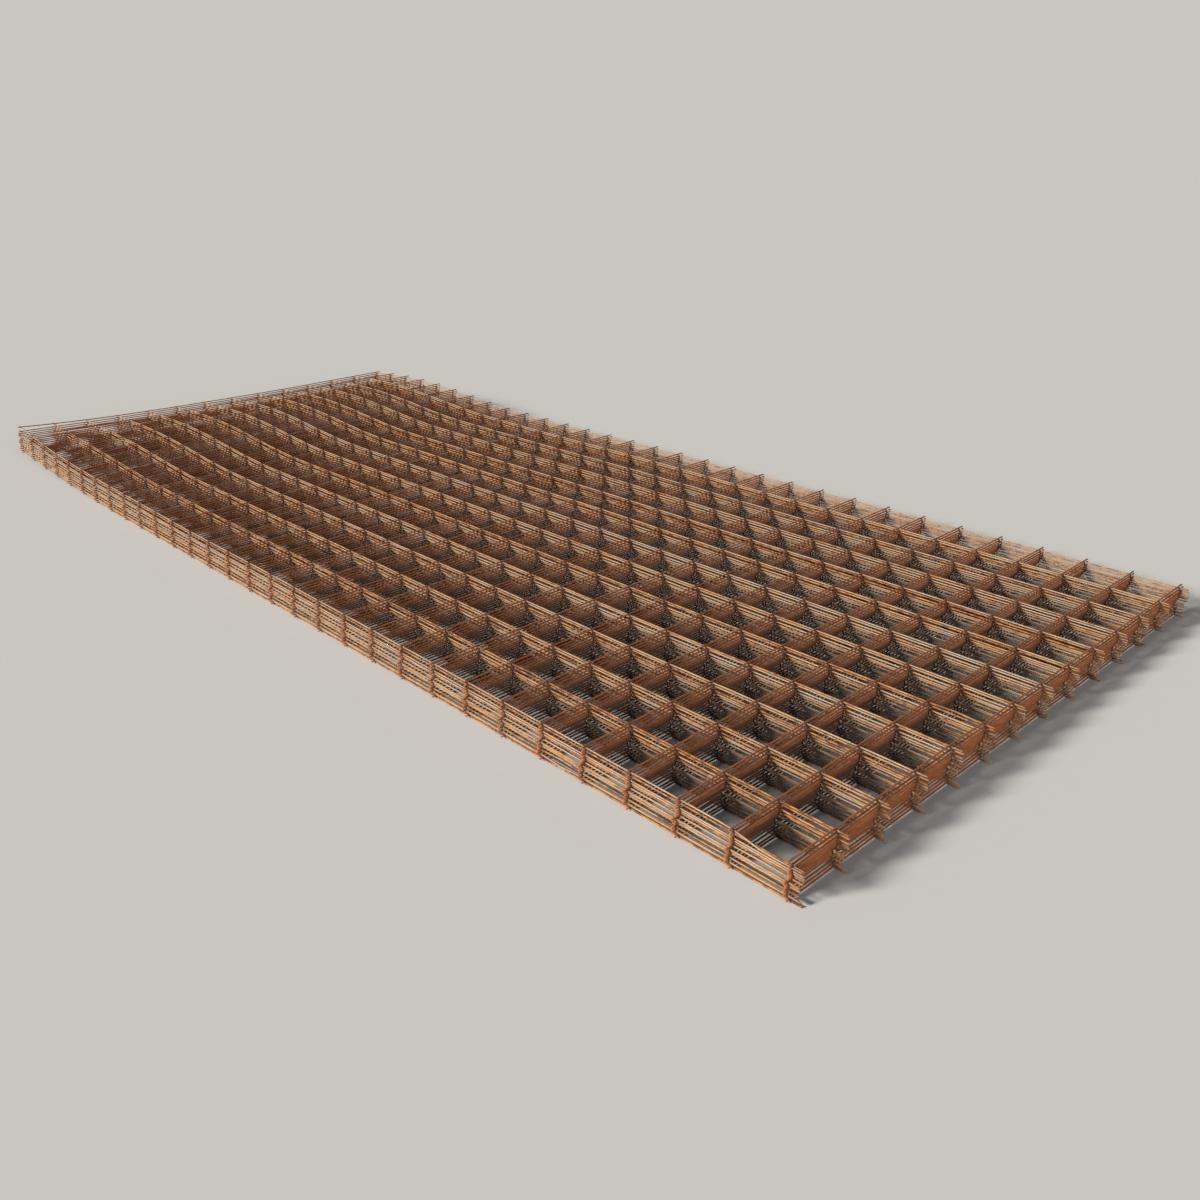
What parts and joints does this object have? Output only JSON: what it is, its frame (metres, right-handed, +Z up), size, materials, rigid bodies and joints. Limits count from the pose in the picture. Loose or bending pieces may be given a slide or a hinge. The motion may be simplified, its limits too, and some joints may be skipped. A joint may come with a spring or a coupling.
{
  "type": "stack of welded reinforcing mesh sheets",
  "caption": "Stack of flat rusted steel sheets of square welded wire mesh for reinforcing concrete, lying on the ground with one short end turned up.",
  "frame": {"origin": "on the ground, under the middle of the stack's bounding box", "axes": "+X along the long wires, away from the turned-up end; +Y along the cross wires; +Z up"},
  "size_m": [4.5666, 2.0016, 0.1581],
  "materials": {
    "rusted_steel": "drawn steel wire, rusted orange-brown with grey-brown mill scale showing through"
  },
  "bodies": {
    "root": {"mesh_sheet_01_flat_run": "rusted_steel", "mesh_sheet_01_turned_up_end": "rusted_steel", "mesh_sheet_02_flat_run": "rusted_steel", "mesh_sheet_02_turned_up_end": "rusted_steel", "mesh_sheet_03_flat_run": "rusted_steel", "mesh_sheet_03_turned_up_end": "rusted_steel", "mesh_sheet_04_flat_run": "rusted_steel", "mesh_sheet_04_turned_up_end": "rusted_steel", "mesh_sheet_05_flat_run": "rusted_steel", "mesh_sheet_05_turned_up_end": "rusted_steel", "mesh_sheet_06_flat_run": "rusted_steel", "mesh_sheet_06_turned_up_end": "rusted_steel", "mesh_sheet_07_flat_run": "rusted_steel", "mesh_sheet_07_turned_up_end": "rusted_steel", "mesh_sheet_08_flat_run": "rusted_steel", "mesh_sheet_08_turned_up_end": "rusted_steel", "mesh_sheet_09_flat_run": "rusted_steel", "mesh_sheet_09_turned_up_end": "rusted_steel", "mesh_sheet_10_flat_run": "rusted_steel", "mesh_sheet_10_turned_up_end": "rusted_steel", "mesh_sheet_11_flat_run": "rusted_steel", "mesh_sheet_11_turned_up_end": "rusted_steel", "mesh_sheet_12_flat_run": "rusted_steel", "mesh_sheet_12_turned_up_end": "rusted_steel", "mesh_sheet_13_flat_run": "rusted_steel", "mesh_sheet_13_turned_up_end": "rusted_steel"}
  },
  "joints": []
}
